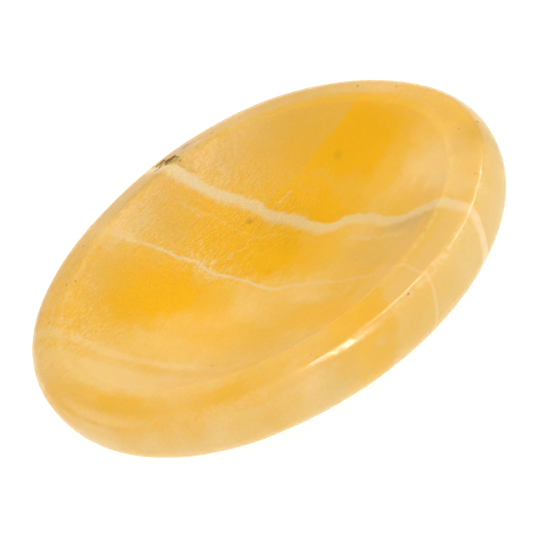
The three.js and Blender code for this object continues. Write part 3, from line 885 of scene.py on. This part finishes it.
def room_world(stage):
    """The room: white low down, bright on the camera's side and a dimmer, warm wall behind the stone."""
    world = bpy.data.worlds.new("studio_room")
    world.use_nodes = True
    tree = world.node_tree
    direction = add_node(tree, "ShaderNodeTexCoord", output="Generated")
    height = add_node(tree, "ShaderNodeSeparateXYZ", {"Vector": direction}, "Z")
    rise = add_node(tree, "ShaderNodeMapRange", {"Value": height, "From Min": 0.15, "From Max": 0.45},
                    interpolation_type="SMOOTHSTEP")
    behind = add_node(tree, "ShaderNodeVectorMath", {0: direction, 1: (0.04, 0.71, 0.70)}, "Value",
                      operation="DOT_PRODUCT")
    behind = add_node(tree, "ShaderNodeMapRange", {"Value": behind, "From Min": 0.4, "From Max": 0.75},
                      interpolation_type="SMOOTHSTEP")
    depth = add_node(tree, "ShaderNodeSeparateXYZ", {"Vector": direction}, "Y")
    beyond = add_node(tree, "ShaderNodeMapRange", {"Value": depth, "From Min": 0.2, "From Max": 0.8},
                      interpolation_type="SMOOTHSTEP")
    front, far = [(level, level, level, 1.0) for level in (stage.horizon, stage.far_horizon)]
    low = add_node(tree, "ShaderNodeMix", {SHARE: beyond, UNDER: front, OVER: far}, MIXED, data_type="RGBA")
    upper = [stage.upper * c for c in stage.ceiling]
    back = [stage.back * c for c in stage.back_wall]
    room = add_node(tree, "ShaderNodeMix", {SHARE: behind, UNDER: upper, OVER: back}, MIXED, data_type="RGBA")
    room = add_node(tree, "ShaderNodeMix", {SHARE: rise, UNDER: low, OVER: room}, MIXED, data_type="RGBA")
    tree.links.new(room, tree.nodes["Background"].inputs["Color"])
    return world


def add_light(name, power, size, at, aim):
    """A soft light of this width and height that looks at a point."""
    light = bpy.data.lights.new(name, "AREA")
    light.shape = "RECTANGLE"
    light.energy = power
    light.size, light.size_y = size
    lamp = bpy.data.objects.new(name, light)
    lamp.location = at
    lamp.rotation_euler = (Vector(aim) - Vector(at)).to_track_quat("-Z", "Y").to_euler()
    bpy.context.scene.collection.objects.link(lamp)


def add_camera(stage):
    """The camera, whose sides come from its elevation, azimuth and roll."""
    tilt, turn, roll = stage.elevation, stage.azimuth, stage.roll
    back = Vector((math.sin(turn) * math.cos(tilt), -math.cos(turn) * math.cos(tilt), math.sin(tilt)))
    level = Vector((math.cos(turn), math.sin(turn), 0.0))
    upright = back.cross(level)
    right = math.cos(roll) * level + math.sin(roll) * upright
    up = -math.sin(roll) * level + math.cos(roll) * upright
    target = stage.aim_right * right + stage.aim_up * up + Vector((0, 0, stage.aim_height))
    data = bpy.data.cameras.new("photo_camera")
    data.lens = stage.lens
    data.sensor_width = 36.0
    data.clip_start = 0.01
    camera = bpy.data.objects.new("photo_camera", data)
    turned = Matrix((right, up, back)).transposed().to_4x4()
    camera.matrix_world = Matrix.Translation(target + back * stage.distance) @ turned
    bpy.context.scene.collection.objects.link(camera)
    bpy.context.scene.camera = camera
    return camera


class WORRYSTONE_OT_stone(bpy.types.Operator):
    """Make the polished stone in place of its faceted solid"""

    bl_idname = "worrystone.stone"
    bl_label = "Worry stone"

    def execute(self, context):
        shape = context.scene.worry_stone_shape
        mesh = stone_mesh(shape)
        worn_surface(mesh, shape)
        mesh.polygons.foreach_set("use_smooth", [True] * len(mesh.polygons))
        mesh.materials.append(calcite_material(shape, context.scene.worry_stone_colours))
        stone = bpy.data.objects.new("worry_stone_polished", mesh)
        context.scene.collection.objects.link(stone)
        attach(stone, "root")
        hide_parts(STONE_NODE)
        return {"FINISHED"}


class WORRYSTONE_OT_stage(bpy.types.Operator):
    """Make the white floor, the soft lights and the camera"""

    bl_idname = "worrystone.stage"
    bl_label = "Stage"

    def execute(self, context):
        stage = context.scene.worry_stone_stage
        half = 1.5
        mesh = bpy.data.meshes.new("floor")
        mesh.from_pydata([(-half, -half, 0), (half, -half, 0), (half, half, 0), (-half, half, 0)], [], [(0, 1, 2, 3)])
        mesh.materials.append(table_material(stage.table_glow))
        floor = bpy.data.objects.new("floor", mesh)
        context.scene.collection.objects.link(floor)
        context.scene.world = room_world(stage)
        middle = Vector((0.0, 0.0, 0.005))
        for name, power, size, far, towards in (
                ("key_softbox", stage.key_power, (0.05, 0.6), 0.7, (0.07, -0.5, 0.85)),
                ("right_strip", stage.side_power, (0.5, 0.07), 0.7, (0.71, -0.03, 0.65)),
                ("left_softbox", 0.5 * stage.side_power, (0.5, 0.3), 0.7, (-0.8, 0.2, 0.57)),
                ("top_softbox", stage.top_power, (0.12, 0.12), 0.5, (0.24, -0.01, 0.97))):
            add_light(name, power, size, middle + far * Vector(towards).normalized(), middle)
        add_camera(stage)
        context.scene.view_settings.view_transform = "Standard"
        return {"FINISHED"}


class WORRYSTONE_PT_panel(bpy.types.Panel):
    """Lists the sizes, colours and makers of the worry stone"""

    bl_label = "Worry stone"
    bl_idname = "WORRYSTONE_PT_panel"
    bl_space_type = "VIEW_3D"
    bl_region_type = "UI"
    bl_category = "Worry stone"

    def draw(self, context):
        scene = context.scene
        for group in (scene.worry_stone_shape, scene.worry_stone_colours, scene.worry_stone_stage):
            box = self.layout.box()
            for name in group.__annotations__:
                box.prop(group, name)
        for operator in (WORRYSTONE_OT_stone, WORRYSTONE_OT_stage):
            self.layout.operator(operator.bl_idname)


CLASSES = (WorryStoneShape, WorryStoneColours, WorryStoneStage,
           WORRYSTONE_OT_stone, WORRYSTONE_OT_stage, WORRYSTONE_PT_panel)


def register():
    for cls in CLASSES:
        bpy.utils.register_class(cls)
    bpy.types.Scene.worry_stone_shape = PointerProperty(type=WorryStoneShape)
    bpy.types.Scene.worry_stone_colours = PointerProperty(type=WorryStoneColours)
    bpy.types.Scene.worry_stone_stage = PointerProperty(type=WorryStoneStage)


def unregister():
    del bpy.types.Scene.worry_stone_stage
    del bpy.types.Scene.worry_stone_colours
    del bpy.types.Scene.worry_stone_shape
    for cls in reversed(CLASSES):
        bpy.utils.unregister_class(cls)


def main():
    register()
    bpy.ops.worrystone.stage()
    bpy.ops.worrystone.stone()


if __name__ == "__main__":
    main()
